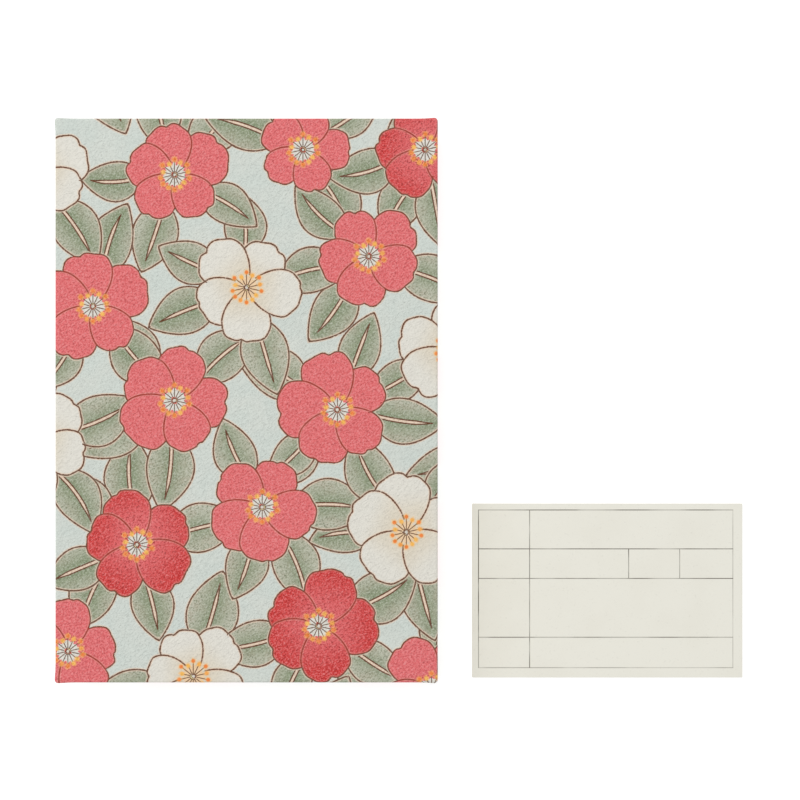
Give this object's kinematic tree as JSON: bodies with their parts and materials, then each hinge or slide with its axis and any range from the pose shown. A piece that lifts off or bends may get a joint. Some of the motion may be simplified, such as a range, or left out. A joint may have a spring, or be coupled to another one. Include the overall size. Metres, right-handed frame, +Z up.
{
  "type": "temple stamp book",
  "caption": "Concertina stamp book: cloth-covered boards joined by a zig-zag strip of paper leaves, with a loose name card.",
  "frame": {"origin": "middle of the back cover's outer face, on which the closed book lies", "axes": "+Z up through the closed book to the front cover, +Y to the head, +X to the spine edge and the name card"},
  "size_m": [0.2207, 0.18, 0.0172],
  "materials": {
    "cover_cloth": "printed crepe, matt, flowers in coral, crimson and ivory on pale aqua",
    "cover_board": "solid grey-brown paperboard, matt",
    "leaf_paper": "soft cream double-ply washi",
    "card_paper": "smooth cream card with thin ruled lines"
  },
  "bodies": {
    "back_cover": {"back_board": "cover_board", "back_cloth": "cover_cloth", "leaf_24": "leaf_paper"},
    "page_23": {"leaf_23": "leaf_paper"},
    "page_22": {"leaf_22": "leaf_paper"},
    "page_21": {"leaf_21": "leaf_paper"},
    "page_20": {"leaf_20": "leaf_paper"},
    "page_19": {"leaf_19": "leaf_paper"},
    "page_18": {"leaf_18": "leaf_paper"},
    "page_17": {"leaf_17": "leaf_paper"},
    "page_16": {"leaf_16": "leaf_paper"},
    "page_15": {"leaf_15": "leaf_paper"},
    "page_14": {"leaf_14": "leaf_paper"},
    "page_13": {"leaf_13": "leaf_paper"},
    "page_12": {"leaf_12": "leaf_paper"},
    "page_11": {"leaf_11": "leaf_paper"},
    "page_10": {"leaf_10": "leaf_paper"},
    "page_09": {"leaf_09": "leaf_paper"},
    "page_08": {"leaf_08": "leaf_paper"},
    "page_07": {"leaf_07": "leaf_paper"},
    "page_06": {"leaf_06": "leaf_paper"},
    "page_05": {"leaf_05": "leaf_paper"},
    "page_04": {"leaf_04": "leaf_paper"},
    "page_03": {"leaf_03": "leaf_paper"},
    "page_02": {"leaf_02": "leaf_paper"},
    "front_cover": {"front_board": "cover_board", "front_cloth": "cover_cloth", "leaf_01": "leaf_paper"},
    "loose_card": {"name_card": "card_paper"}
  },
  "joints": [
    {"name": "fold_23", "type": "hinge", "parent": "back_cover", "child": "page_23", "pos_m": [0.06105, 0, 0.00308], "axis": [0, 1, 0], "range_deg": [0, 180]},
    {"name": "fold_22", "type": "hinge", "parent": "page_23", "child": "page_22", "pos_m": [-0.058, 0, 0.00358], "axis": [0, -1, 0], "range_deg": [0, 180]},
    {"name": "fold_21", "type": "hinge", "parent": "page_22", "child": "page_21", "pos_m": [0.06105, 0, 0.00408], "axis": [0, 1, 0], "range_deg": [0, 180]},
    {"name": "fold_20", "type": "hinge", "parent": "page_21", "child": "page_20", "pos_m": [-0.058, 0, 0.00458], "axis": [0, -1, 0], "range_deg": [0, 180]},
    {"name": "fold_19", "type": "hinge", "parent": "page_20", "child": "page_19", "pos_m": [0.06105, 0, 0.00508], "axis": [0, 1, 0], "range_deg": [0, 180]},
    {"name": "fold_18", "type": "hinge", "parent": "page_19", "child": "page_18", "pos_m": [-0.058, 0, 0.00558], "axis": [0, -1, 0], "range_deg": [0, 180]},
    {"name": "fold_17", "type": "hinge", "parent": "page_18", "child": "page_17", "pos_m": [0.06105, 0, 0.00608], "axis": [0, 1, 0], "range_deg": [0, 180]},
    {"name": "fold_16", "type": "hinge", "parent": "page_17", "child": "page_16", "pos_m": [-0.058, 0, 0.00658], "axis": [0, -1, 0], "range_deg": [0, 180]},
    {"name": "fold_15", "type": "hinge", "parent": "page_16", "child": "page_15", "pos_m": [0.06105, 0, 0.00708], "axis": [0, 1, 0], "range_deg": [0, 180]},
    {"name": "fold_14", "type": "hinge", "parent": "page_15", "child": "page_14", "pos_m": [-0.058, 0, 0.00758], "axis": [0, -1, 0], "range_deg": [0, 180]},
    {"name": "fold_13", "type": "hinge", "parent": "page_14", "child": "page_13", "pos_m": [0.06105, 0, 0.00808], "axis": [0, 1, 0], "range_deg": [0, 180]},
    {"name": "fold_12", "type": "hinge", "parent": "page_13", "child": "page_12", "pos_m": [-0.058, 0, 0.00858], "axis": [0, -1, 0], "range_deg": [0, 180]},
    {"name": "fold_11", "type": "hinge", "parent": "page_12", "child": "page_11", "pos_m": [0.06105, 0, 0.00908], "axis": [0, 1, 0], "range_deg": [0, 180]},
    {"name": "fold_10", "type": "hinge", "parent": "page_11", "child": "page_10", "pos_m": [-0.058, 0, 0.00958], "axis": [0, -1, 0], "range_deg": [0, 180]},
    {"name": "fold_09", "type": "hinge", "parent": "page_10", "child": "page_09", "pos_m": [0.06105, 0, 0.01008], "axis": [0, 1, 0], "range_deg": [0, 180]},
    {"name": "fold_08", "type": "hinge", "parent": "page_09", "child": "page_08", "pos_m": [-0.058, 0, 0.01058], "axis": [0, -1, 0], "range_deg": [0, 180]},
    {"name": "fold_07", "type": "hinge", "parent": "page_08", "child": "page_07", "pos_m": [0.06105, 0, 0.01108], "axis": [0, 1, 0], "range_deg": [0, 180]},
    {"name": "fold_06", "type": "hinge", "parent": "page_07", "child": "page_06", "pos_m": [-0.058, 0, 0.01158], "axis": [0, -1, 0], "range_deg": [0, 180]},
    {"name": "fold_05", "type": "hinge", "parent": "page_06", "child": "page_05", "pos_m": [0.06105, 0, 0.01208], "axis": [0, 1, 0], "range_deg": [0, 180]},
    {"name": "fold_04", "type": "hinge", "parent": "page_05", "child": "page_04", "pos_m": [-0.058, 0, 0.01258], "axis": [0, -1, 0], "range_deg": [0, 180]},
    {"name": "fold_03", "type": "hinge", "parent": "page_04", "child": "page_03", "pos_m": [0.06105, 0, 0.01308], "axis": [0, 1, 0], "range_deg": [0, 180]},
    {"name": "fold_02", "type": "hinge", "parent": "page_03", "child": "page_02", "pos_m": [-0.058, 0, 0.01358], "axis": [0, -1, 0], "range_deg": [0, 180]},
    {"name": "fold_01", "type": "hinge", "parent": "page_02", "child": "front_cover", "pos_m": [0.06105, 0, 0.01408], "axis": [0, 1, 0], "range_deg": [0, 180]},
    {"name": "card_lift", "type": "slide", "parent": "back_cover", "child": "loose_card", "axis": [0, 0, 1], "range_m": [0, 0.08]}
  ],
  "couplings": [
    {"joint": "fold_22", "follows": "fold_23", "ratio": 1},
    {"joint": "fold_20", "follows": "fold_21", "ratio": 1},
    {"joint": "fold_18", "follows": "fold_19", "ratio": 1},
    {"joint": "fold_16", "follows": "fold_17", "ratio": 1},
    {"joint": "fold_14", "follows": "fold_15", "ratio": 1},
    {"joint": "fold_12", "follows": "fold_13", "ratio": 1},
    {"joint": "fold_10", "follows": "fold_11", "ratio": 1},
    {"joint": "fold_07", "follows": "fold_08", "ratio": 1},
    {"joint": "fold_06", "follows": "fold_08", "ratio": 1},
    {"joint": "fold_03", "follows": "fold_04", "ratio": 1},
    {"joint": "fold_02", "follows": "fold_04", "ratio": 1}
  ]
}
